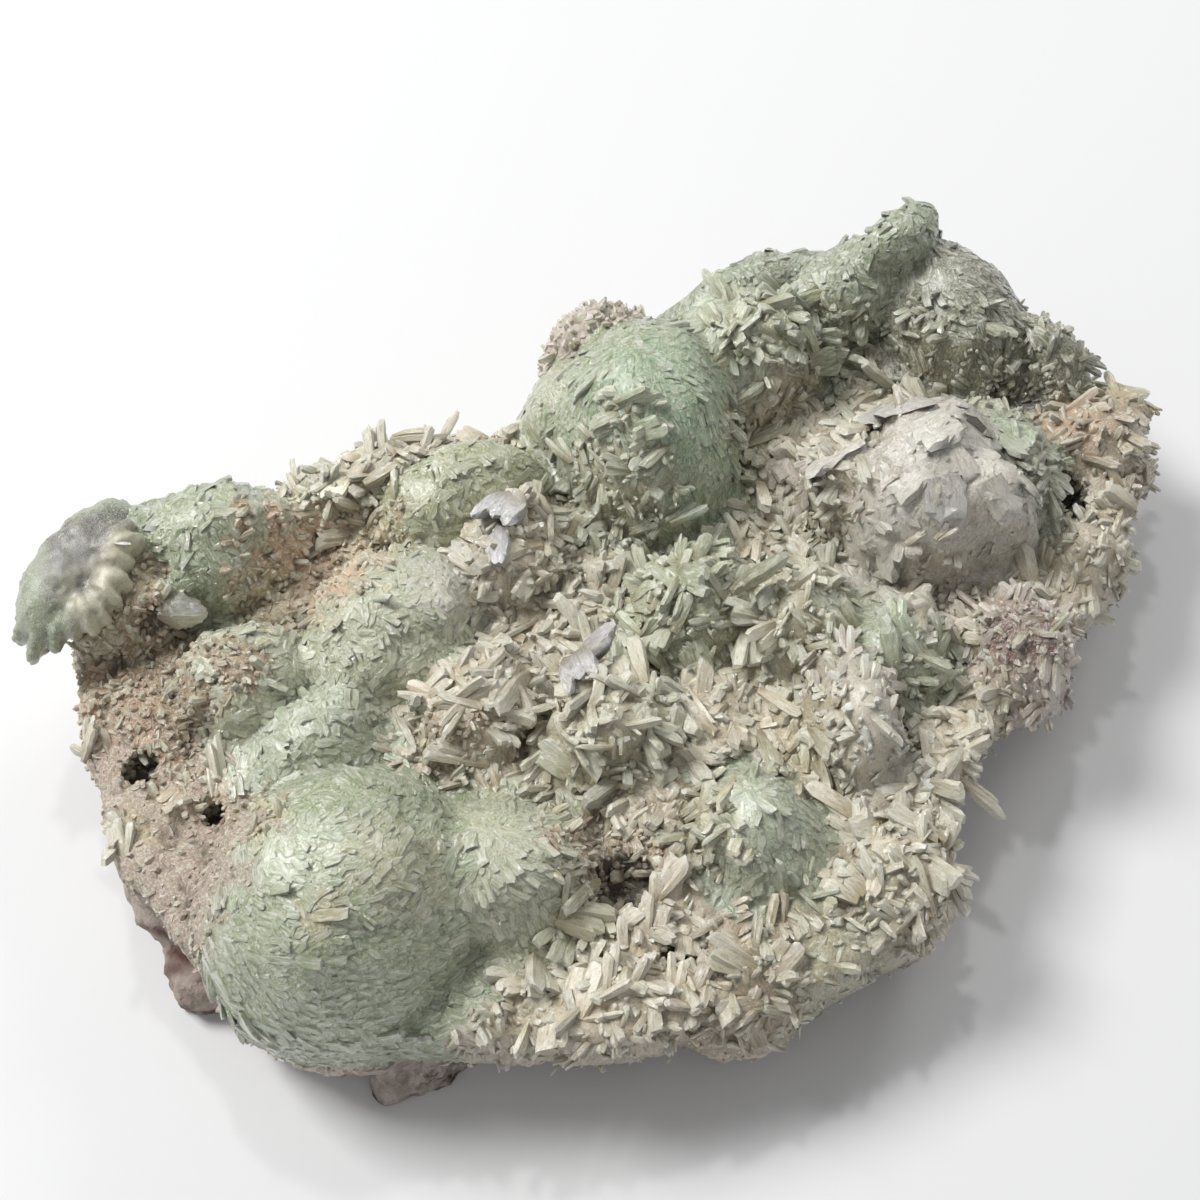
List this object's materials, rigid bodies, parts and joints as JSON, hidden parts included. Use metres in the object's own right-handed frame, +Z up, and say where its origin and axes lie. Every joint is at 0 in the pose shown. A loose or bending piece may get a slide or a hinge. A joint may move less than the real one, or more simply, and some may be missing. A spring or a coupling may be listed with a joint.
{
  "type": "prehnite mineral specimen",
  "caption": "Lumpy slab-like mineral specimen: green and cream prehnite domes and open nests of blades grown over pale rock, with a flat foot.",
  "frame": {"origin": "middle of the footprint, on the surface that the specimen lies on", "axes": "+Z up, +X along the specimen's length towards its pointed end, +Y towards the straight back edge"},
  "size_m": [0.2328, 0.1602, 0.0615],
  "materials": {
    "prehnite_crust": "glossy translucent crystals",
    "host_rock": "dull rough rock"
  },
  "bodies": {
    "root": {"prehnite_crust": "prehnite_crust", "host_rock": "host_rock"}
  },
  "joints": []
}
